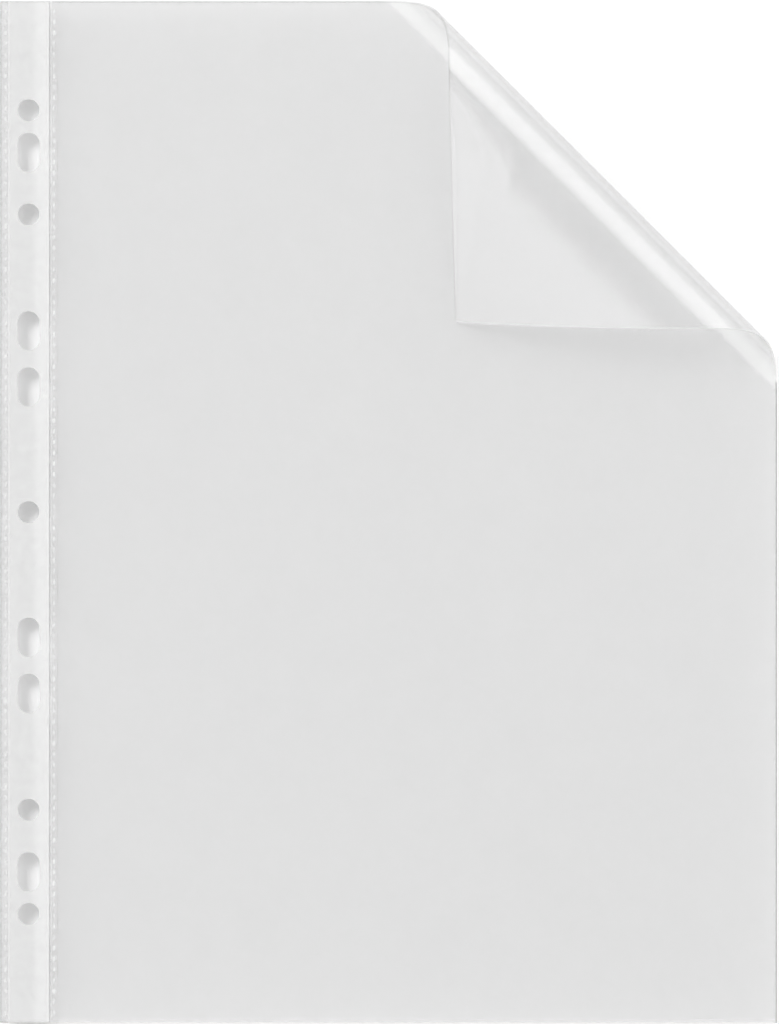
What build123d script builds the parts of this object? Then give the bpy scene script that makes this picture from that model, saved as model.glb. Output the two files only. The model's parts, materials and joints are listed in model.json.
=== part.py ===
from build123d import *
from math import cos, degrees, pi, sin, sqrt
import os

# A clear punched pocket for one A4 sheet, lying on its back panel with its top right corner rolled over.
# Two films lie on each other: the back film and the front film, joined by a fold along the right side.
# +X runs from the punched edge to the folded side, +Y from the sealed bottom to the open mouth.
# +Z faces the reader. The origin is the middle of the flat sheet, on the surface that it lies on.

# The sheet and its film
SHEET_WIDTH = 232.0
SHEET_HEIGHT = 305.0
FILM = 0.08

# The white tape that stiffens the punched edge, and the room it has between the films
TAPE_WIDTH = 12.1
TAPE_THICKNESS = 0.2
TAPE_CLEARANCE = 0.1
TAPE_SIDE_CLEARANCE = 0.2

# The ladder welds on both sides of the tape, and the plain bar weld along the bottom
EDGE_BORDER = 0.4
LADDER_WIDTH = 1.9
LADDER_RAIL = 0.4
RUNG_PITCH = 1.6
RUNG_WIDTH = 0.8
BOTTOM_WELD = 0.9

# The ring holes, each pair given by its distance from the middle of the edge
ROUND_HOLE = 6.5
SLOT_WIDTH = 6.6
SLOT_LENGTH = 11.7
A4_RING_OFFSET = 120.0
SEVEN_INCH_RING_OFFSET = 88.9
OUTER_SLOT_OFFSET = 107.45
MIDDLE_SLOT_OFFSET = 54.1
INNER_SLOT_OFFSET = 37.4

# The flex line between the punched edge and the pocket, clear enough to fold square both ways
FLEX_CLEARANCE = 0.14

# The rolled corner: the roll's outer line lies CORNER_TO_ROLL from where the flat corner would be
ROLL_RADIUS = 9.1
CORNER_TO_ROLL = 74.1
BEND_COUNT = 6
BEND_SLIT = 0.1
TIP_CLEARANCE = 0.3

# Heights of the two films and of what lies between them
pocket_gap = TAPE_THICKNESS + 2 * TAPE_CLEARANCE
stack = 2 * FILM + pocket_gap
back_film = (0.0, FILM)
front_film = (FILM + pocket_gap, stack)
between_films = (FILM, FILM + pocket_gap)

# Places across the sheet
left_side = -SHEET_WIDTH / 2
right_side = SHEET_WIDTH / 2
bottom_edge = -SHEET_HEIGHT / 2
mouth_edge = SHEET_HEIGHT / 2
outer_ladder_left = left_side + EDGE_BORDER
tape_left = outer_ladder_left + LADDER_WIDTH + TAPE_SIDE_CLEARANCE
tape_right = tape_left + TAPE_WIDTH
hole_line = tape_left + TAPE_WIDTH / 2
margin_right = tape_right + TAPE_SIDE_CLEARANCE
pocket_left = margin_right + stack + FLEX_CLEARANCE

# The roll, seen along its axis: the film leaves the surface, turns and comes down to the front panel
rolled_length = CORNER_TO_ROLL + ROLL_RADIUS
inner_radius = ROLL_RADIUS - stack


def flap_reach(turn):
    """Length of flat film that is left past a roll of this turn, from the roll to the tip."""
    return rolled_length - ROLL_RADIUS * turn


def tip_height(turn):
    """Height of the lower face of the flap's tip after a roll of this turn, in radians."""
    return ROLL_RADIUS - inner_radius * cos(turn) + flap_reach(turn) * sin(turn)


def landing_turn():
    """Turn of the roll, in radians, that leaves the tip its clearance over the front panel."""
    low = pi
    high = 1.5 * pi
    for _ in range(60):
        middle = (low + high) / 2
        if tip_height(middle) > stack + TIP_CLEARANCE:
            low = middle
        else:
            high = middle
    return low


roll_turn = landing_turn()
bend_turn = roll_turn / BEND_COUNT
slit_turn = BEND_SLIT / ROLL_RADIUS
flap_length = flap_reach(roll_turn)
bend_half_chord = ROLL_RADIUS * sin(bend_turn / 2)

# The roll's own frame: X towards the corner, Y along the roll to the mouth, Z up, from where the film lifts off
diagonal = rolled_length / sqrt(2)
roll_place = Location((right_side - diagonal, mouth_edge - diagonal, 0), (0, 0, 45))
roll_axis = roll_place * Pos(0, 0, ROLL_RADIUS)

# A strip of film along an edge at 45 degrees to the roll is this wide along the roll
fold_width = FILM * sqrt(2)


def plate(points, heights):
    """A flat plate with this outline, between two heights."""
    low, high = heights
    outline = make_face(Polyline(*points, close=True))
    return Pos(0, 0, low) * extrude(outline, amount=high - low)


def bar(left, right, low, high, heights):
    """A plate with a rectangular outline."""
    return plate([(left, low), (right, low), (right, high), (left, high)], heights)


def ring_holes():
    """The eleven holes' outlines: five round and six long ones, in pairs about the middle."""
    round_pairs = (A4_RING_OFFSET, SEVEN_INCH_RING_OFFSET)
    slot_pairs = (OUTER_SLOT_OFFSET, MIDDLE_SLOT_OFFSET, INNER_SLOT_OFFSET)
    round_hole = Circle(ROUND_HOLE / 2)
    slot = SlotOverall(SLOT_LENGTH, SLOT_WIDTH, rotation=90)
    outlines = [Pos(hole_line, 0) * round_hole]
    for offset in round_pairs:
        outlines += [Pos(hole_line, side * offset) * round_hole for side in (-1, 1)]
    for offset in slot_pairs:
        outlines += [Pos(hole_line, side * offset) * slot for side in (-1, 1)]
    return Sketch() + outlines


def punched(strip):
    """A strip of the punched edge with the ring holes cut through it."""
    cutter = extrude(ring_holes(), amount=stack + FILM)
    return strip - Pos(0, 0, -FILM / 2) * cutter


def ladder_weld(left):
    """One ladder weld: two rails and the rungs between them, as high as the sheet."""
    rungs = int((SHEET_HEIGHT - RUNG_WIDTH) / RUNG_PITCH)
    window = Rectangle(LADDER_WIDTH - 2 * LADDER_RAIL, RUNG_PITCH - RUNG_WIDTH)
    strip = Rectangle(LADDER_WIDTH, SHEET_HEIGHT) - GridLocations(0, RUNG_PITCH, 1, rungs) * window
    low, high = between_films
    return Pos(left + LADDER_WIDTH / 2, 0, low) * extrude(strip, amount=high - low)


def panel(heights):
    """A film of the pocket: a rectangle that ends at the line where the corner lifts off."""
    cut = sqrt(2) * (rolled_length + BEND_SLIT / 2)
    points = [
        (pocket_left, bottom_edge),
        (right_side, bottom_edge),
        (right_side, mouth_edge - cut),
        (right_side - cut, mouth_edge),
        (pocket_left, mouth_edge),
    ]
    return plate(points, heights)


def side_fold():
    """The fold that joins the two films along the right side, up to where the corner lifts off."""
    top = mouth_edge - sqrt(2) * (rolled_length + BEND_SLIT / 2)
    points = [
        (right_side - FILM, bottom_edge),
        (right_side, bottom_edge),
        (right_side, top),
        (right_side - FILM, top + FILM),
    ]
    return plate(points, between_films)


def radii(heights):
    """Inner and outer radius in the roll of a film that lies between these heights when flat."""
    low, high = heights
    return ROLL_RADIUS - high, ROLL_RADIUS - low


def bent_sector(heights):
    """One length of the bend as a curved bar along the roll, with its middle at the bottom of the roll."""
    inner, outer = radii(heights)
    size = degrees(bend_turn - slit_turn)
    start = -90 - size / 2
    outside = CenterArc((0, 0), outer, start, size)
    inside = CenterArc((0, 0), inner, start, size)
    sides = [Line(inside @ end, outside @ end) for end in (0, 1)]
    section = make_face([outside, inside, *sides])
    return extrude(Plane.XZ * section, amount=rolled_length, both=True)


def bend(index, heights, fold=False):
    """One film's length of the bend, or its folded side edge: narrower the further the film has turned."""
    first = rolled_length - ROLL_RADIUS * bend_turn * index
    last = rolled_length - ROLL_RADIUS * bend_turn * (index + 1)
    near = -bend_half_chord
    far = bend_half_chord
    if fold:
        mouth_side = [(far, fold_width - last), (near, fold_width - first)]
    else:
        mouth_side = [(far, last), (near, first)]
    outline = [(near, -first), (far, -last), *mouth_side]
    turned = Rot(0, -degrees(bend_turn * (index + 0.5)), 0)
    trim = plate(outline, (-ROLL_RADIUS, 0))
    return roll_axis * turned * (bent_sector(heights) & trim)


def flap(heights, fold=False):
    """The flat film past the roll, or its folded side edge, down to the tip."""
    start = BEND_SLIT / 2
    base = flap_length - start
    if fold:
        end = flap_length - fold_width
        outline = [(start, -base), (end, -fold_width), (end, 0), (start, fold_width - base)]
    else:
        outline = [(start, -base), (flap_length, 0), (start, base)]
    inner, outer = radii(heights)
    turned = Rot(0, -degrees(roll_turn), 0)
    return roll_axis * turned * plate(outline, (-outer, -inner))


tape_low = FILM + TAPE_CLEARANCE
tape_heights = (tape_low, tape_low + TAPE_THICKNESS)
inner_ladder_right = pocket_left + LADDER_WIDTH
weld_top = bottom_edge + BOTTOM_WELD
fold_inside = right_side - FILM

parts = {
    "margin_back": punched(bar(left_side, margin_right, bottom_edge, mouth_edge, back_film)),
    "reinforcing_tape": punched(bar(tape_left, tape_right, bottom_edge, mouth_edge, tape_heights)),
    "outer_weld": ladder_weld(outer_ladder_left),
    "margin_front": punched(bar(left_side, margin_right, bottom_edge, mouth_edge, front_film)),
    "back_panel": panel(back_film),
    "inner_weld": ladder_weld(pocket_left),
    "bottom_weld": bar(inner_ladder_right, fold_inside, bottom_edge, weld_top, between_films),
    "side_fold": side_fold(),
    "front_panel": panel(front_film),
}
for step in range(BEND_COUNT):
    parts[f"back_bend_{step + 1}"] = bend(step, back_film)
    parts[f"fold_bend_{step + 1}"] = bend(step, between_films, fold=True)
    parts[f"front_bend_{step + 1}"] = bend(step, front_film)
parts["back_flap"] = flap(back_film)
parts["flap_fold"] = flap(between_films, fold=True)
parts["front_flap"] = flap(front_film)

os.makedirs("parts", exist_ok=True)
for name, shape in parts.items():
    export_step(shape, f"parts/{name}.step")

print(f"{len(parts)} parts, roll turned {degrees(roll_turn):.2f} degrees, flap {flap_length:.2f} mm long")
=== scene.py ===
import json
from math import atan2, pi, radians, sqrt

import bmesh
import bpy
import numpy as np
from mathutils import Matrix, Vector


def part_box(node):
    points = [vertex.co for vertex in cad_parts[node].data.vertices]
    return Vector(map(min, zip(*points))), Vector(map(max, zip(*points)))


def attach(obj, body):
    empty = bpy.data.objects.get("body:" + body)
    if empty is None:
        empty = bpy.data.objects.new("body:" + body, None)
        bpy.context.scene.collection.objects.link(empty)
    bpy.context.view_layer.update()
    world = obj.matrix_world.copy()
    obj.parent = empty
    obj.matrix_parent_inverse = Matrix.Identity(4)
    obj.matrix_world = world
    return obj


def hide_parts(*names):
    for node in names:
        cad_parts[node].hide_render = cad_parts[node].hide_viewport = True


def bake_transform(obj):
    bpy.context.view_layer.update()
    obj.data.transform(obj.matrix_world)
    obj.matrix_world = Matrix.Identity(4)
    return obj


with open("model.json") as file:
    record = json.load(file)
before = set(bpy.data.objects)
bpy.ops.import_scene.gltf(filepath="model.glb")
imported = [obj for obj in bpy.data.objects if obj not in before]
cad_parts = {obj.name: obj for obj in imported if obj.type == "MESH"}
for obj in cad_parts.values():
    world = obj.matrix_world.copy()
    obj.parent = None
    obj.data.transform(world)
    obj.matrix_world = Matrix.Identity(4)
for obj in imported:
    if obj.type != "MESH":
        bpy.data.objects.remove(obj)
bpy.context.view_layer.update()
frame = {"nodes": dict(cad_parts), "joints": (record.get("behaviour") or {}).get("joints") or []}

# The punched margin
# Two strips of clear polypropylene film, one under and one over the tape, punched together with it.
# They are the left ends of the pocket's web, embossed with a fine grain so that it doesn't cling.

MM = 0.001
FILM_GRAIN = 0.5 * MM
FILM_GRAIN_DEPTH = 0.012 * MM
GRAIN_DETAIL = 1.5
GRAIN_ROUGHNESS = 0.5
PATCHES_PER_METRE = 14.0
PATCH_DETAIL = 2.0
PATCH_ROUGHNESS = 0.45
NOISE_SPAN = (0.3, 0.7)
HAZE_SWING = (0.9, 1.1)
GLOSS_SWING = (0.85, 1.15)
FILM_HAZE = 0.19
FILM_HAZE_COLOUR = (0.78, 0.78, 0.78, 1)
FILM_SHADE = (0.955, 0.955, 0.955, 1)
MARGIN_BACK_SHADE = (0.42, 0.42, 0.42, 1)
SHADE_FADE_START = 9.5 * MM
SHADE_FADE = 1.5 * MM
FILM_ROUGHNESS = 0.2
HEAD_ON_MIRROR = 0.08
GRAZING_MIRROR = 0.1
GRAZING_HAZE = 0.7
GRAZING_POWER = 5.0
CUT_RIM = 0.4 * MM
# Painted shade: the film's cut rims are drawn darker, standing in for the dark line a cut edge shows.
RIM_PAINTED_SHADE = (0.5, 0.5, 0.5, 1)


def shader_node(tree, kind, inputs=None, **settings):
    """A new node with these settings. An input takes a plain value or another node's output."""
    made = tree.nodes.new(kind)
    for name, value in settings.items():
        setattr(made, name, value)
    for name, value in (inputs or {}).items():
        if isinstance(value, bpy.types.NodeSocket):
            tree.links.new(value, made.inputs[name])
        else:
            made.inputs[name].default_value = value
    return made


def noise_swing(tree, noise, swing):
    """A value that swings between these two with a noise."""
    span = shader_node(
        tree,
        "ShaderNodeMapRange",
        {
            "Value": noise.outputs["Fac"],
            "From Min": NOISE_SPAN[0],
            "From Max": NOISE_SPAN[1],
            "To Min": swing[0],
            "To Max": swing[1],
        },
    )
    return span.outputs["Result"]


def grain_group():
    """Shared effect: the grain of an embossing roll, and the slow change of haze and gloss over a sheet."""
    tree = bpy.data.node_groups.new("embossed_grain", "ShaderNodeTree")
    for name in ("Grain Per Metre", "Haze", "Roughness"):
        tree.interface.new_socket(name, in_out="INPUT", socket_type="NodeSocketFloat")
    for name in ("Height", "Haze", "Roughness"):
        tree.interface.new_socket(name, in_out="OUTPUT", socket_type="NodeSocketFloat")
    entry = tree.nodes.new("NodeGroupInput")
    result = tree.nodes.new("NodeGroupOutput")
    place = shader_node(tree, "ShaderNodeTexCoord").outputs["Object"]
    grain = shader_node(
        tree,
        "ShaderNodeTexNoise",
        {
            "Vector": place,
            "Scale": entry.outputs["Grain Per Metre"],
            "Detail": GRAIN_DETAIL,
            "Roughness": GRAIN_ROUGHNESS,
        },
    )
    patch = shader_node(
        tree,
        "ShaderNodeTexNoise",
        {
            "Vector": place,
            "Scale": PATCHES_PER_METRE,
            "Detail": PATCH_DETAIL,
            "Roughness": PATCH_ROUGHNESS,
        },
    )
    haze = shader_node(
        tree,
        "ShaderNodeMath",
        {0: noise_swing(tree, patch, HAZE_SWING), 1: entry.outputs["Haze"]},
        operation="MULTIPLY",
    )
    gloss = shader_node(
        tree,
        "ShaderNodeMath",
        {0: noise_swing(tree, grain, GLOSS_SWING), 1: entry.outputs["Roughness"]},
        operation="MULTIPLY",
    )
    tree.links.new(grain.outputs["Fac"], result.inputs["Height"])
    tree.links.new(haze.outputs["Value"], result.inputs["Haze"])
    tree.links.new(gloss.outputs["Value"], result.inputs["Roughness"])
    return tree


embossed_grain = grain_group()


def rim_shade_mask(tree, low, high):
    """Where the painted rim shade goes: one along the cut rims of the punched edge, its outer side and two
    ends, nothing elsewhere.
    """
    place = shader_node(tree, "ShaderNodeTexCoord").outputs["Object"]
    parts = shader_node(tree, "ShaderNodeSeparateXYZ", {"Vector": place}).outputs
    side = shader_node(tree, "ShaderNodeMath", {0: parts["X"], 1: low.x + CUT_RIM}, operation="LESS_THAN")
    foot = shader_node(tree, "ShaderNodeMath", {0: parts["Y"], 1: low.y + CUT_RIM}, operation="LESS_THAN")
    head = shader_node(tree, "ShaderNodeMath", {0: parts["Y"], 1: high.y - CUT_RIM}, operation="GREATER_THAN")
    ends = shader_node(
        tree, "ShaderNodeMath", {0: foot.outputs["Value"], 1: head.outputs["Value"]}, operation="MAXIMUM"
    )
    mask = shader_node(
        tree, "ShaderNodeMath", {0: side.outputs["Value"], 1: ends.outputs["Value"]}, operation="MAXIMUM"
    )
    return mask.outputs["Value"]


def faded_shade(tree, outer, inner):
    """A shade for the outer half of the punched edge, which fades to another towards the pocket.

    The outer half keeps light from the table, which gives the holes their shade.
    """
    place = shader_node(tree, "ShaderNodeTexCoord").outputs["Object"]
    x = shader_node(tree, "ShaderNodeSeparateXYZ", {"Vector": place}).outputs["X"]
    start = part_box("margin_back")[0].x + SHADE_FADE_START
    share = shader_node(
        tree, "ShaderNodeMapRange", {"Value": x, "From Min": start, "From Max": start + SHADE_FADE}
    )
    mix = shader_node(
        tree, "ShaderNodeMix", {"Factor": share.outputs["Result"], 6: outer, 7: inner}, data_type="RGBA"
    )
    return mix.outputs[2]


def clear_plastic(name, haze, haze_colour, shade, roughness, grain, grain_depth, rim_box=None):
    """Clear film: mostly see-through, a little milky, with a gloss that grows towards a grazing view.

    The shade is what one face lets through of the light that falls on what lies under the film.
    A punched-edge strip also gets its box, for painted shade on its cut rims and a shade that fades to the
    pocket.
    """
    material = bpy.data.materials.new(name)
    material.use_nodes = True
    tree = material.node_tree
    tree.nodes.clear()
    emboss = shader_node(tree, "ShaderNodeGroup", node_tree=embossed_grain)
    emboss.inputs["Grain Per Metre"].default_value = 1 / grain
    emboss.inputs["Haze"].default_value = haze
    emboss.inputs["Roughness"].default_value = roughness
    bump = shader_node(
        tree,
        "ShaderNodeBump",
        {"Strength": 1.0, "Distance": grain_depth, "Height": emboss.outputs["Height"]},
    )
    see_through = shader_node(tree, "ShaderNodeBsdfTransparent", {"Color": (1, 1, 1, 1)})
    milk = shader_node(
        tree,
        "ShaderNodeBsdfPrincipled",
        {
            "Base Color": haze_colour,
            "Roughness": emboss.outputs["Roughness"],
            "Normal": bump.outputs["Normal"],
        },
    )
    facing = shader_node(tree, "ShaderNodeLayerWeight", {"Blend": 0.5})
    steep = shader_node(
        tree, "ShaderNodeMath", {0: facing.outputs["Facing"], 1: GRAZING_POWER}, operation="POWER"
    )
    milkiness = shader_node(
        tree,
        "ShaderNodeMath",
        {0: steep.outputs["Value"], 1: GRAZING_HAZE, 2: emboss.outputs["Haze"]},
        operation="MULTIPLY_ADD",
    )
    veil = shader_node(
        tree,
        "ShaderNodeMixShader",
        {0: milkiness.outputs["Value"], 1: see_through.outputs["BSDF"], 2: milk.outputs["BSDF"]},
    )
    # Painted shade on the cut rims: their milk is mixed towards a darker colour.
    if rim_box is not None:
        mask = rim_shade_mask(tree, *rim_box)
        colour = shader_node(
            tree, "ShaderNodeMix", {"Factor": mask, 6: haze_colour, 7: RIM_PAINTED_SHADE}, data_type="RGBA"
        )
        tree.links.new(colour.outputs[2], milk.inputs["Base Color"])
        shade = faded_shade(tree, shade, FILM_SHADE)
    gloss = shader_node(
        tree,
        "ShaderNodeBsdfAnisotropic",
        {"Color": (1, 1, 1, 1), "Roughness": emboss.outputs["Roughness"], "Normal": bump.outputs["Normal"]},
    )
    mirror = shader_node(
        tree,
        "ShaderNodeMath",
        {0: steep.outputs["Value"], 1: GRAZING_MIRROR, 2: HEAD_ON_MIRROR},
        operation="MULTIPLY_ADD",
    )
    surface = shader_node(
        tree,
        "ShaderNodeMixShader",
        {0: mirror.outputs["Value"], 1: veil.outputs["Shader"], 2: gloss.outputs["BSDF"]},
    )
    shaded = shader_node(
        tree,
        "ShaderNodeMixShader",
        {
            0: shader_node(tree, "ShaderNodeLightPath").outputs["Is Shadow Ray"],
            1: surface.outputs["Shader"],
            2: shader_node(tree, "ShaderNodeBsdfTransparent", {"Color": shade}).outputs["BSDF"],
        },
    )
    shader_node(tree, "ShaderNodeOutputMaterial", {"Surface": shaded.outputs["Shader"]})
    return material


clear_film = clear_plastic(
    "clear_film", FILM_HAZE, FILM_HAZE_COLOUR, FILM_SHADE, FILM_ROUGHNESS, FILM_GRAIN, FILM_GRAIN_DEPTH
)
margin_films = {}
for strip, shade in (("margin_back", MARGIN_BACK_SHADE), ("margin_front", FILM_SHADE)):
    margin_films[strip] = clear_plastic(
        f"{strip}_film",
        FILM_HAZE,
        FILM_HAZE_COLOUR,
        shade,
        FILM_ROUGHNESS,
        FILM_GRAIN,
        FILM_GRAIN_DEPTH,
        rim_box=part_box(strip),
    )


def finish_node(node, material):
    """A carried-over solid takes this finish."""
    mesh = frame["nodes"][node].data
    mesh.materials.clear()
    mesh.materials.append(material)


for strip, material in margin_films.items():
    finish_node(strip, material)

# The reinforcing tape
# A white, translucent plastic tape that lies loose between the two films along the punched edge.
# It is slit from a roll. The fine pale line along each long edge is a painted highlight.

TAPE_OPACITY = 0.72
TAPE_MOTTLE = 0.04
# Painted highlight: a whiter, more opaque line along each long edge of the tape.
TAPE_HIGHLIGHT_OPACITY = 0.2
TAPE_ROUGHNESS = 0.45
TAPE_COLOUR = (0.99, 0.99, 0.99, 1)
TAPE_EDGE_HIGHLIGHT = (1, 1, 1, 1)
TAPE_SHADE = (0.2, 0.2, 0.2, 1)
TAPE_INNER_SHADE = (0.8, 0.8, 0.8, 1)
TAPE_HIGHLIGHT_LINE = 0.5 * MM
TAPE_FIBRE = 3 * MM
TAPE_FIBRE_DETAIL = 3.0


def tape_material():
    """Milky tape with faint mottling and a painted highlight, a pale line, along each slit edge."""
    low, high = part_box("reinforcing_tape")
    middle = (low.x + high.x) / 2
    half = (high.x - low.x) / 2
    material = bpy.data.materials.new("edge_tape")
    material.use_nodes = True
    tree = material.node_tree
    tree.nodes.clear()
    place = shader_node(tree, "ShaderNodeTexCoord").outputs["Object"]
    across = shader_node(tree, "ShaderNodeSeparateXYZ", {"Vector": place}).outputs["X"]
    centred = shader_node(tree, "ShaderNodeMath", {0: across, 1: middle}, operation="SUBTRACT")
    reach = shader_node(tree, "ShaderNodeMath", {0: centred.outputs["Value"]}, operation="ABSOLUTE")
    # Where the painted edge highlight goes.
    line = shader_node(
        tree,
        "ShaderNodeMapRange",
        {
            "Value": reach.outputs["Value"],
            "From Min": half - TAPE_HIGHLIGHT_LINE,
            "From Max": half - TAPE_HIGHLIGHT_LINE / 2,
        },
    )
    fibre = shader_node(
        tree,
        "ShaderNodeTexNoise",
        {"Vector": place, "Scale": 1 / TAPE_FIBRE, "Detail": TAPE_FIBRE_DETAIL},
    )
    body_opacity = noise_swing(tree, fibre, (TAPE_OPACITY - TAPE_MOTTLE, TAPE_OPACITY + TAPE_MOTTLE))
    opacity = shader_node(
        tree,
        "ShaderNodeMath",
        {0: line.outputs["Result"], 1: TAPE_HIGHLIGHT_OPACITY, 2: body_opacity},
        operation="MULTIPLY_ADD",
    )
    colour = shader_node(
        tree,
        "ShaderNodeMix",
        {"Factor": line.outputs["Result"], 6: TAPE_COLOUR, 7: TAPE_EDGE_HIGHLIGHT},
        data_type="RGBA",
    )
    clear = shader_node(tree, "ShaderNodeBsdfTransparent", {"Color": (1, 1, 1, 1)})
    white = shader_node(
        tree, "ShaderNodeBsdfPrincipled", {"Base Color": colour.outputs[2], "Roughness": TAPE_ROUGHNESS}
    )
    surface = shader_node(
        tree,
        "ShaderNodeMixShader",
        {0: opacity.outputs["Value"], 1: clear.outputs["BSDF"], 2: white.outputs["BSDF"]},
    )
    let_through = faded_shade(tree, TAPE_SHADE, TAPE_INNER_SHADE)
    shaded = shader_node(
        tree,
        "ShaderNodeMixShader",
        {
            0: shader_node(tree, "ShaderNodeLightPath").outputs["Is Shadow Ray"],
            1: surface.outputs["Shader"],
            2: shader_node(tree, "ShaderNodeBsdfTransparent", {"Color": let_through}).outputs["BSDF"],
        },
    )
    shader_node(tree, "ShaderNodeOutputMaterial", {"Surface": shaded.outputs["Shader"]})
    return material


finish_node("reinforcing_tape", tape_material())

# The ladder welds
# Two narrow seams, one at the outer edge and one beside the tape, where a hot ribbed bar fuses the films.
# On the tape's side each has a row of long clear beads, and on the other side a thin flat rail.

WELD_HAZE = 0.3
WELD_ROUGHNESS = 0.45
WELD_COLOUR = (0.95, 0.95, 0.95, 1)
WELD_GRAIN = 1.2 * MM
RAIL_HAZE = 0.08
RAIL_COLOUR = (0.6, 0.6, 0.6, 1)
LADDER_RAIL = 0.3 * MM
RUNG_PITCH = 3.215 * MM
RUNG_LENGTH = 1.3 * MM
RUNG_WIDTH = 2.3 * MM
BEAD_RISE = 0.06 * MM
BEAD_SEGMENTS = 8
BEAD_RINGS = 5
BEAD_SWING = (0.82, 1.06)
WELD_SEED = 7

weld_bead = clear_plastic(
    "weld_bead", WELD_HAZE, WELD_COLOUR, FILM_SHADE, WELD_ROUGHNESS, WELD_GRAIN, FILM_GRAIN_DEPTH
)
weld_rail = clear_plastic(
    "weld_rail", RAIL_HAZE, RAIL_COLOUR, FILM_SHADE, WELD_ROUGHNESS, WELD_GRAIN, FILM_GRAIN_DEPTH
)


def ladder_tree():
    """A row of beads, from named sizes. Each bead is a ball of diameter one, stretched to the rung's size."""
    tree = bpy.data.node_groups.new("ladder_weld", "GeometryNodeTree")
    tree.is_modifier = True
    kinds = {
        "Rungs": "NodeSocketInt",
        "Pitch": "NodeSocketFloat",
        "First Rung": "NodeSocketVector",
        "Rung Size": "NodeSocketVector",
        "Seed": "NodeSocketInt",
        "Finish": "NodeSocketMaterial",
    }
    for name, kind in kinds.items():
        tree.interface.new_socket(name, in_out="INPUT", socket_type=kind)
    tree.interface.new_socket("Geometry", in_out="OUTPUT", socket_type="NodeSocketGeometry")
    entry = tree.nodes.new("NodeGroupInput").outputs
    step = shader_node(tree, "ShaderNodeCombineXYZ", {"Y": entry["Pitch"]})
    row = shader_node(
        tree,
        "GeometryNodeMeshLine",
        {"Count": entry["Rungs"], "Start Location": entry["First Rung"], "Offset": step.outputs["Vector"]},
    )
    ball = shader_node(
        tree,
        "GeometryNodeMeshUVSphere",
        {"Segments": BEAD_SEGMENTS, "Rings": BEAD_RINGS, "Radius": 0.5},
    )
    bead = shader_node(
        tree, "GeometryNodeTransform", {"Geometry": ball.outputs["Mesh"], "Scale": entry["Rung Size"]}
    )
    swing = shader_node(
        tree,
        "FunctionNodeRandomValue",
        {2: BEAD_SWING[0], 3: BEAD_SWING[1], "Seed": entry["Seed"]},
        data_type="FLOAT",
    )
    beads = shader_node(
        tree,
        "GeometryNodeInstanceOnPoints",
        {"Points": row.outputs["Mesh"], "Instance": bead.outputs["Geometry"], "Scale": swing.outputs[1]},
    )
    real = shader_node(tree, "GeometryNodeRealizeInstances", {"Geometry": beads.outputs["Instances"]})
    coated = shader_node(
        tree,
        "GeometryNodeSetMaterial",
        {"Geometry": real.outputs["Geometry"], "Material": entry["Finish"]},
    )
    result = tree.nodes.new("NodeGroupOutput")
    tree.links.new(coated.outputs["Geometry"], result.inputs["Geometry"])
    return tree


ladder_weld = ladder_tree()


def new_piece(name, mesh):
    """A piece of the object, at the origin, with its place in its mesh."""
    piece = bpy.data.objects.new(name, mesh)
    bpy.context.scene.collection.objects.link(piece)
    return piece


def grown(piece, tree, values):
    """Run a node tree on the piece with these named inputs and keep the result as its plain mesh."""
    modifier = piece.modifiers.new("grow", "NODES")
    modifier.node_group = tree
    for socket in tree.interface.items_tree:
        if socket.item_type == "SOCKET" and socket.in_out == "INPUT":
            modifier[socket.identifier] = values[socket.name]
    bpy.context.view_layer.update()
    evaluated = piece.evaluated_get(bpy.context.evaluated_depsgraph_get())
    piece.data = bpy.data.meshes.new_from_object(evaluated)
    piece.modifiers.clear()


for node, body, tape_is_right, seed in (
    ("outer_weld", "binding_edge", True, WELD_SEED),
    ("inner_weld", "pocket", False, WELD_SEED + 1),
):
    low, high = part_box(node)
    centre = (low + high) / 2
    size = high - low
    rungs = int(size.y / RUNG_PITCH)
    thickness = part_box("front_panel")[1].z + 2 * BEAD_RISE
    bead_x = high.x - RUNG_LENGTH / 2 if tape_is_right else low.x + RUNG_LENGTH / 2
    rail_x = low.x + LADDER_RAIL / 2 if tape_is_right else high.x - LADDER_RAIL / 2
    ladder = new_piece(f"{node}_beads", bpy.data.meshes.new(f"{node}_beads"))
    grown(
        ladder,
        ladder_weld,
        {
            "Rungs": rungs,
            "Pitch": RUNG_PITCH,
            "First Rung": (bead_x, centre.y - (rungs - 1) / 2 * RUNG_PITCH, centre.z),
            "Rung Size": (RUNG_LENGTH, RUNG_WIDTH, thickness),
            "Seed": seed,
            "Finish": weld_bead,
        },
    )
    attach(ladder, body)
    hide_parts(node)
    bar = bmesh.new()
    shape = Matrix.Diagonal((LADDER_RAIL, size.y, size.z, 1))
    bmesh.ops.create_cube(bar, size=1, matrix=Matrix.Translation((rail_x, centre.y, centre.z)) @ shape)
    rail_mesh = bpy.data.meshes.new(f"{node}_rail")
    bar.to_mesh(rail_mesh)
    bar.free()
    rail_mesh.materials.append(weld_rail)
    rail = new_piece(f"{node}_rail", rail_mesh)
    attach(rail, body)

# The bottom weld
# One plain bar weld closes the pocket along the bottom, from the inner ladder to the folded side.
# The films are fused and cut there in one stroke.

finish_node("bottom_weld", weld_bead)

# The flex line
# A narrow strip of each film between the tape and the inner weld, where the pocket turns like a page.
# The front film sinks towards the back film there, off the tape's edge, and the crease's thin dark line is
# painted shade.

FLEX_STEPS = 12
CREASE_SHARE = 0.35
CREASE_SHADE_HAZE = 0.14
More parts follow.
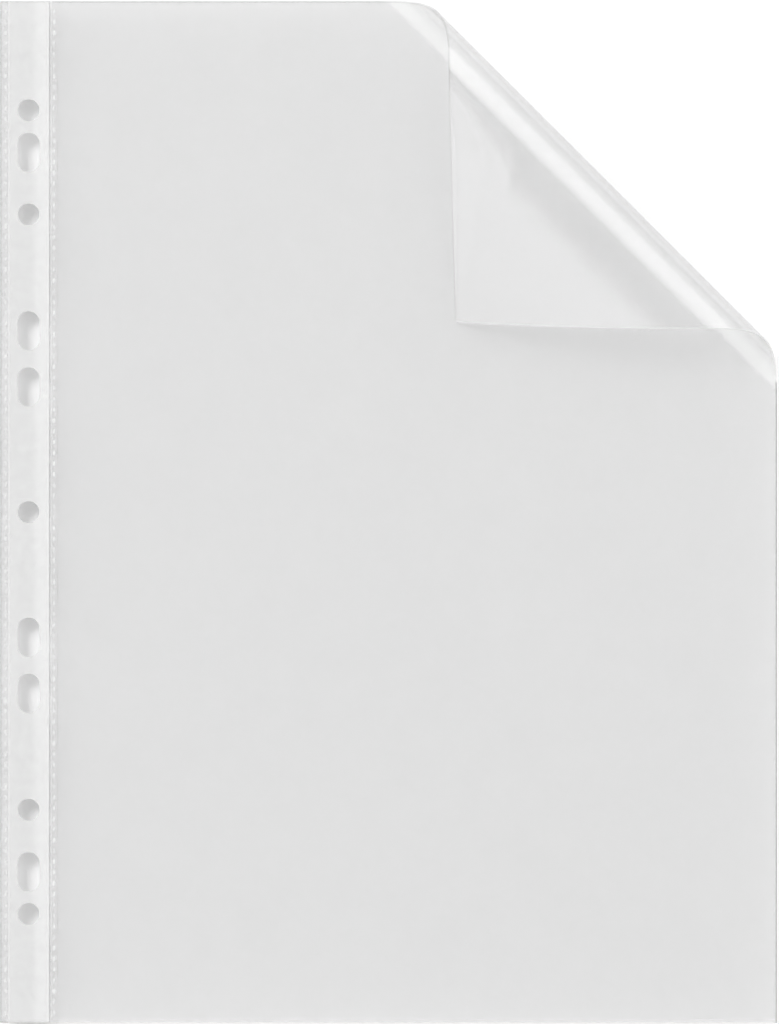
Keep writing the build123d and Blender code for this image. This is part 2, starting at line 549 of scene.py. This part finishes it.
# The crease's dark line is painted shade: a dark milk on the strip beside the tape.
CREASE_PAINTED_SHADE = (0.35, 0.35, 0.35, 1)
SHARP_FOLD = radians(12)
FLEX_SINK = 0.14 * MM
MERGE_DISTANCE = 0.002 * MM
margin_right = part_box("margin_back")[1].x
pocket_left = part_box("back_panel")[0].x
bottom_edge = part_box("margin_back")[0].y
mouth_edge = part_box("margin_back")[1].y
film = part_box("back_panel")[1].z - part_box("back_panel")[0].z
back_lift = film / 2
front_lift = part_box("front_panel")[1].z - film / 2

# Painted shade along the crease.
crease_painted_shade = clear_plastic(
    "crease_painted_shade", CREASE_SHADE_HAZE, CREASE_PAINTED_SHADE, FILM_SHADE, FILM_ROUGHNESS, FILM_GRAIN, FILM_GRAIN_DEPTH
)


def film_piece(name, patches, material, painted_shade_material=None):
    """A closed thin film from patches of points that join at their shared edges.

    The last strip of points in each row takes a second finish, a painted shade, where one is given.
    """
    shell = bmesh.new()
    for patch in patches:
        verts = [[shell.verts.new(place) for place in row] for row in patch]
        for row, above in zip(verts, verts[1:]):
            corners = list(zip(row, row[1:], above[1:], above))
            for number, (a, b, c, d) in enumerate(corners):
                face = shell.faces.new((a, b, c, d))
                face.material_index = int(painted_shade_material is not None and number == len(corners) - 1)
    bmesh.ops.remove_doubles(shell, verts=shell.verts, dist=MERGE_DISTANCE)
    bmesh.ops.recalc_face_normals(shell, faces=shell.faces)
    for face in shell.faces:
        face.smooth = True
    for edge in shell.edges:
        edge.smooth = not edge.is_boundary and edge.calc_face_angle(0) < SHARP_FOLD
    mesh = bpy.data.meshes.new(name)
    shell.to_mesh(mesh)
    shell.free()
    mesh.materials.append(material)
    if painted_shade_material is not None:
        mesh.materials.append(painted_shade_material)
    piece = new_piece(name, mesh)
    wall = piece.modifiers.new("film thickness", "SOLIDIFY")
    wall.thickness = film
    wall.offset = 0
    return piece


for side, lift, sink in (("back", back_lift, 0), ("front", front_lift, FLEX_SINK)):
    section = []
    for share in (*np.linspace(1, CREASE_SHARE, FLEX_STEPS), 0):
        x = margin_right + share * (pocket_left - margin_right)
        section.append((x, lift - sink * (1 - (2 * share - 1) ** 2)))
    rows = [[(x, y, z) for x, z in section] for y in (bottom_edge, mouth_edge)]
    strip = film_piece(f"{side}_flex_strip", [rows], clear_film, crease_painted_shade)
    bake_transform(strip)

# The back film
# The half of the web that lies on the table: a flat panel whose top right corner rolls over and lands again.
# The film lifts off gently and eases out of the roll into a flap. It is one sheet, drawn in lengths,
# each of which bends across one line of the roll.

FULL_CURVE_TURN = radians(145)
ROLL_TURN = radians(167)
LOOSE_RADIUS = 8.3 * MM
LIFT_EASE = 8 * MM
FLAP_CURL_REACH = 28 * MM
TIP_HEIGHT = 1.6 * MM
TIP_CUT = 0.5 * MM
PROFILE_STEPS = 1600
LANDING_TRIES = 40
RIM_SHARE = 0.2
PANEL_STEPS = 12
BEND_STEPS = 20
FLAP_STEPS = 48
CREASE_STEPS = 40
LIP_STEPS = 20
LIP_LINE = 0.42
LIP_BEND = 0.1 * MM
BACK_LIP_ANGLE = radians(7)
GAPE_RISE = 18 * MM

# Painted shade for the films' cut rims along the mouth.
rim_painted_shade = clear_plastic(
    "rim_painted_shade", FILM_HAZE, RIM_PAINTED_SHADE, FILM_SHADE, FILM_ROUGHNESS, FILM_GRAIN, FILM_GRAIN_DEPTH
)
roll_joints = [j for j in frame["joints"] if j["name"].startswith("corner_roll_")]
bend_count = len(roll_joints) - 1
lift_off = Vector(roll_joints[0]["pos_m"])
along = Vector(roll_joints[0]["axis"]).normalized()
up = Vector((0, 0, 1))
across = along.cross(up)
second = Vector(roll_joints[1]["pos_m"]) - lift_off
roll_radius = (across.dot(second) ** 2 + second.z**2) / (2 * second.z)
bend_turn = atan2(across.dot(second), roll_radius - second.z)
right_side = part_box("side_fold")[1].x
corner = Vector((right_side, mouth_edge, 0))
rolled_length = across.dot(corner - lift_off)
fold_radius = (front_lift - back_lift) / 2
curve_length = LOOSE_RADIUS * FULL_CURVE_TURN
lift_start = roll_radius - LOOSE_RADIUS - LIFT_EASE / 2


def profile_points(end_turn):
    """The rolled film's outer face, seen along the roll: distances along the film, places and slopes."""
    distance = np.linspace(lift_start, rolled_length, PROFILE_STEPS)
    lifted = distance - lift_start
    curved = np.where(lifted < LIFT_EASE, lifted**2 / (2 * LIFT_EASE), lifted - LIFT_EASE / 2)
    past = np.maximum(curved - curve_length, 0)
    easing = ROLL_TURN - FULL_CURVE_TURN
    eased = easing * (1 - np.exp(-past / (LOOSE_RADIUS * easing)))
    slope = np.minimum(curved, curve_length) / LOOSE_RADIUS + eased
    slope = slope + end_turn * (1 - np.exp(-past / FLAP_CURL_REACH))
    middle = (slope[1:] + slope[:-1]) / 2
    step = np.diff(distance)
    out = lift_start + np.concatenate([[0], np.cumsum(np.cos(middle) * step)])
    height = np.concatenate([[0], np.cumsum(np.sin(middle) * step)])
    return distance, out, height, slope


def landing_curl():
    """How far the flap curls past the roll before its tip comes down to the front panel."""
    low, high = 0.0, pi / 2
    for _ in range(LANDING_TRIES):
        middle = (low + high) / 2
        if profile_points(middle)[2][-1] > TIP_HEIGHT:
            low = middle
        else:
            high = middle
    return low


profile = profile_points(landing_curl())


def film_point(distance, width, lift):
    """A point on a film: distance past the lift-off line, place along the roll, height within the stack."""
    out, height, slope = (np.interp(distance, profile[0], column) for column in profile[1:])
    return (
        lift_off
        + along * width
        + across * float(out - lift * np.sin(slope))
        + up * float(height + lift * np.cos(slope))
    )


def film_span(distance):
    """The film's two edges along the roll: the folded side and the mouth."""
    half = rolled_length - distance
    return -half + fold_radius * sqrt(2), half


def seam_distance(number):
    """Distance along the film to the middle of a bend, where two lengths of film meet."""
    return roll_radius * bend_turn * (number - 0.5)


def film_widths(distance):
    """Places across a film along the roll: to the lip's crease, on to a narrow rim, and to the mouth."""
    low, high = film_span(distance)
    rim = min(CUT_RIM * sqrt(2), RIM_SHARE * (high - low))
    return [
        *np.linspace(low, LIP_LINE * high, CREASE_STEPS, endpoint=False),
        *np.linspace(LIP_LINE * high, high - rim, LIP_STEPS),
        high,
    ]


def gape_share(distance):
    """How far the flap has taken its own shape: not at all on the roll, fully a little past it."""
    share = np.clip((distance - seam_distance(bend_count)) / GAPE_RISE, 0, 1)
    return float(share * share * (3 - 2 * share))


def lip_drop(distance, width, angle):
    """How far the flap's mouth side hangs down past its crease, bent by this angle."""
    past_crease = max(0, width - LIP_LINE * film_span(distance)[1]) / sqrt(1 + LIP_LINE**2)
    return gape_share(distance) * float(np.sin(angle)) * past_crease**2 / (past_crease + LIP_BEND)


def back_gape(distance, width):
    """How far the back film lies from the plain rolled shape."""
    return lip_drop(distance, width, BACK_LIP_ANGLE)


def rolled_patch(start, end, steps, lift, gape):
    """Points of a film between two distances past the lift-off line."""
    rows = []
    for distance in np.linspace(start, end, steps + 1):
        rows.append([film_point(distance, w, lift + gape(distance, w)) for w in film_widths(distance)])
    return rows


def panel_patches(lift):
    """Points of the flat panel: the plain part, and the part that ends at the lift-off line."""
    edge = [film_point(lift_start, width, lift) for width in film_widths(lift_start)]
    plain = [(right_side - fold_radius, y) for y in np.linspace(bottom_edge, edge[0].y, 2 * PANEL_STEPS)]
    ends = [*plain, *((place.x, place.y) for place in edge[1:])]
    shares = np.linspace(0, 1, PANEL_STEPS + 1)
    return [[[(pocket_left + share * (x - pocket_left), y, lift) for x, y in ends] for share in shares]]


tip_distance = rolled_length - TIP_CUT


def film_lengths(lift, gape):
    """Each length of a film with its patches: the panel and half a bend, bend to bend, and the flap."""
    half_bend = rolled_patch(lift_start, seam_distance(1), BEND_STEPS // 2, lift, gape)
    lengths = [[*panel_patches(lift), half_bend]]
    for number in range(1, bend_count):
        start, end = seam_distance(number), seam_distance(number + 1)
        lengths.append([rolled_patch(start, end, BEND_STEPS, lift, gape)])
    lengths.append([rolled_patch(seam_distance(bend_count), tip_distance, FLAP_STEPS, lift, gape)])
    return lengths


def bend_with_roll(piece, number, side):
    """Fix a length of film in place in the world, and hide the solids it stands for."""
    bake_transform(piece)
    nodes = [f"{side}_panel"] if number == 0 else [f"{side}_bend_{number}"]
    if side == "fold":
        nodes = ["side_fold"] if number == 0 else nodes
    if number == bend_count:
        nodes.append("flap_fold" if side == "fold" else f"{side}_flap")
    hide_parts(*nodes)


length_names = ["panel", *(f"roll_{n}" for n in range(1, bend_count)), "flap"]
for number, patches in enumerate(film_lengths(back_lift, back_gape)):
    piece = film_piece(f"back_film_{length_names[number]}", patches, clear_film, rim_painted_shade)
    bend_with_roll(piece, number, "back")

# The front film
# The half of the web that faces the reader. It follows the back film round the roll, on its inner side.
# Past the roll its mouth side bends further down than the back film's, so the mouth gapes there.

FRONT_LIP_ANGLE = radians(38)


def front_gape(distance, width):
    """How far the front film lies from the plain rolled shape."""
    return lip_drop(distance, width, FRONT_LIP_ANGLE)


for number, patches in enumerate(film_lengths(front_lift, front_gape)):
    piece = film_piece(f"front_film_{length_names[number]}", patches, clear_film, rim_painted_shade)
    bend_with_roll(piece, number, "front")

# The folded side
# The web is folded once along the right side, so there is no weld there, only a tight round bend in the film.
# Along the flat sheet it carries a painted shade, and round the roll and past it a painted highlight.

FOLD_STEPS = 12
SIDE_ROWS = 3
# Painted shade for the fold along the flat sheet, and a painted highlight for it round the roll and past it.
FOLD_SHADE_HAZE = 0.6
FOLD_PAINTED_SHADE = (0.3, 0.3, 0.3, 1)
FOLD_HIGHLIGHT_HAZE = 0.4
FOLD_PAINTED_HIGHLIGHT = (0.98, 0.98, 0.98, 1)
FOLD_SHADE = (0.6, 0.6, 0.6, 1)

fold_painted_shade = clear_plastic(
    "fold_painted_shade", FOLD_SHADE_HAZE, FOLD_PAINTED_SHADE, FILM_SHADE, FILM_ROUGHNESS, FILM_GRAIN, FILM_GRAIN_DEPTH
)
fold_painted_highlight = clear_plastic(
    "fold_painted_highlight", FOLD_HIGHLIGHT_HAZE, FOLD_PAINTED_HIGHLIGHT, FOLD_SHADE, FILM_ROUGHNESS, FILM_GRAIN, FILM_GRAIN_DEPTH
)


def fold_section(back_edge, front_edge, outward):
    """Half a turn of film from the back film's edge to the front film's edge."""
    middle = (back_edge + front_edge) / 2
    half = (front_edge - back_edge) / 2
    turns = np.linspace(-pi / 2, pi / 2, FOLD_STEPS + 1)
    return [middle + outward * float(fold_radius * np.cos(t)) + half * float(np.sin(t)) for t in turns]


def rolled_fold(start, end, steps):
    """Sections of the fold between two distances past the lift-off line."""
    rows = []
    for distance in np.linspace(start, end, steps + 1):
        width = film_span(distance)[0]
        back_edge = film_point(distance, width, back_lift)
        front_edge = film_point(distance, width, front_lift)
        slope = float(np.interp(distance, profile[0], profile[3]))
        tangent = across * float(np.cos(slope)) + up * float(np.sin(slope))
        rows.append(fold_section(back_edge, front_edge, (tangent - along).normalized()))
    return rows


def straight_fold():
    """Sections of the fold along the flat part of the sheet."""
    top = film_point(lift_start, film_span(lift_start)[0], 0).y
    x = right_side - fold_radius
    rows = []
    for y in np.linspace(bottom_edge, top, SIDE_ROWS):
        rows.append(fold_section(Vector((x, y, back_lift)), Vector((x, y, front_lift)), Vector((1, 0, 0))))
    return rows


fold_lengths = [[straight_fold()]]
fold_lengths[0].append(rolled_fold(lift_start, seam_distance(1), BEND_STEPS // 2))
for number in range(1, bend_count):
    fold_lengths.append([rolled_fold(seam_distance(number), seam_distance(number + 1), BEND_STEPS)])
fold_lengths.append([rolled_fold(seam_distance(bend_count), tip_distance, FLAP_STEPS)])
for number, patches in enumerate(fold_lengths):
    # Painted shade on the flat length, painted highlight on the rolled lengths.
    finish = fold_painted_shade if number == 0 else fold_painted_highlight
    piece = film_piece(f"side_fold_{length_names[number]}", patches, finish)
    bend_with_roll(piece, number, "fold")

# The floor
# A plain white table a little below the sheet, which takes the sheet's soft shadow.
# Its distance sets how far the patch of light inside each hole moves to the side.

FLOOR_DROP = 6.2 * MM
FLOOR_HALF = 8.0
FLOOR_COLOUR = (0.9, 0.9, 0.9, 1)
FLOOR_GLOW = 0.06


def floor_material():
    """White matt floor that reads as white to the camera and keeps shadows."""
    material = bpy.data.materials.new("white_floor")
    material.use_nodes = True
    tree = material.node_tree
    tree.nodes.clear()
    rays = shader_node(tree, "ShaderNodeLightPath").outputs
    seen = shader_node(
        tree, "ShaderNodeMath", {0: rays["Is Camera Ray"], 1: rays["Is Glossy Ray"]}, operation="MAXIMUM"
    )
    seen = shader_node(
        tree,
        "ShaderNodeMath",
        {0: seen.outputs["Value"], 1: rays["Is Transmission Ray"]},
        operation="MAXIMUM",
    )
    glow = shader_node(
        tree, "ShaderNodeMath", {0: seen.outputs["Value"], 1: FLOOR_GLOW}, operation="MULTIPLY"
    )
    matt = shader_node(tree, "ShaderNodeBsdfDiffuse", {"Color": FLOOR_COLOUR})
    light = shader_node(tree, "ShaderNodeEmission", {"Strength": glow.outputs["Value"]})
    both = shader_node(
        tree, "ShaderNodeAddShader", {0: matt.outputs["BSDF"], 1: light.outputs["Emission"]}
    )
    shader_node(tree, "ShaderNodeOutputMaterial", {"Surface": both.outputs["Shader"]})
    return material


floor_mesh = bpy.data.meshes.new("floor")
quarters = ((-1, -1), (1, -1), (1, 1), (-1, 1))
floor_corners = [(x * FLOOR_HALF, y * FLOOR_HALF, -FLOOR_DROP) for x, y in quarters]
floor_mesh.from_pydata(floor_corners, [], [(0, 1, 2, 3)])
floor_mesh.materials.append(floor_material())
new_piece("floor", floor_mesh)

# The light
# A pale room, darker low down and straight above, where the camera hangs. A key light from the upper left
# shades the holes, with its own glare kept off the film. A broad soft light beyond the roll draws its stripe.

ROOM_LIGHT = 0.86
HORIZON_LIGHT = 0.45
OVERHEAD_LIGHT = 0.08
WALL_TOP = 0.7
DARK_FROM = 0.94
DARK_FULL = 0.985
KEY_DIRECTION = (-0.57, 0.57, 1.0)
KEY_DISTANCE = 9.0
KEY_SIZE = (2.6, 2.6)
KEY_POWER = 354
STRIP_DIRECTION = (0.44, 0.44, 1.0)
STRIP_DISTANCE = 5.0
STRIP_SIZE = (4.3, 3.2)
STRIP_POWER = 22
STRIP_ALONG = (-1, 1, 0)


def soft_light(name, direction, distance, size, power, along_side=(1, 0, 0)):
    """A rectangular soft light that looks at the middle of the sheet, with one side along a direction."""
    lamp = bpy.data.lights.new(name, "AREA")
    lamp.shape = "RECTANGLE"
    lamp.size, lamp.size_y = size
    lamp.energy = power
    holder = bpy.data.objects.new(name, lamp)
    bpy.context.scene.collection.objects.link(holder)
    back = Vector(direction).normalized()
    side = Vector(along_side)
    side = (side - back * side.dot(back)).normalized()
    holder.matrix_world = Matrix((side, back.cross(side), back)).transposed().to_4x4()
    holder.location = back * distance
    return holder


key_light = soft_light("key_light", KEY_DIRECTION, KEY_DISTANCE, KEY_SIZE, KEY_POWER)
key_light.visible_glossy = False
soft_light("strip_light", STRIP_DIRECTION, STRIP_DISTANCE, STRIP_SIZE, STRIP_POWER, STRIP_ALONG)

world = bpy.data.worlds.new("room")
world.use_nodes = True
room = world.node_tree
direction = shader_node(room, "ShaderNodeTexCoord").outputs["Generated"]
height = shader_node(room, "ShaderNodeSeparateXYZ", {"Vector": direction}).outputs["Z"]
walls = shader_node(
    room,
    "ShaderNodeMapRange",
    {"Value": height, "From Max": WALL_TOP, "To Min": HORIZON_LIGHT, "To Max": ROOM_LIGHT},
)
overhead = shader_node(
    room,
    "ShaderNodeMapRange",
    {
        "Value": height,
        "From Min": DARK_FROM,
        "From Max": DARK_FULL,
        "To Min": 1.0,
        "To Max": OVERHEAD_LIGHT / ROOM_LIGHT,
    },
    interpolation_type="SMOOTHSTEP",
)
level = shader_node(
    room, "ShaderNodeMath", {0: walls.outputs["Result"], 1: overhead.outputs["Result"]}, operation="MULTIPLY"
)
room.links.new(level.outputs["Value"], room.nodes["Background"].inputs["Strength"])
room.nodes["Background"].inputs["Color"].default_value = (1, 1, 1, 1)
bpy.context.scene.world = world

# The camera
# Straight above the sheet, far away, with the sheet filling the picture from edge to edge.

LENS = 300.0
SENSOR = 36.0
PICTURE_HEIGHT = 305.85 * MM
PICTURE_MIDDLE = (0.34 * MM, 0.02 * MM)
SEE_THROUGH_BOUNCES = 40
LIGHT_BOUNCES = 5

camera = bpy.data.objects.new("camera", bpy.data.cameras.new("camera"))
bpy.context.scene.collection.objects.link(camera)
camera.data.lens = LENS
camera.data.sensor_width = SENSOR
camera.location = (*PICTURE_MIDDLE, PICTURE_HEIGHT * LENS / SENSOR)
bpy.context.scene.camera = camera
bpy.context.scene.view_settings.view_transform = "Standard"
bpy.context.scene.cycles.transparent_max_bounces = SEE_THROUGH_BOUNCES
bpy.context.scene.cycles.max_bounces = LIGHT_BOUNCES
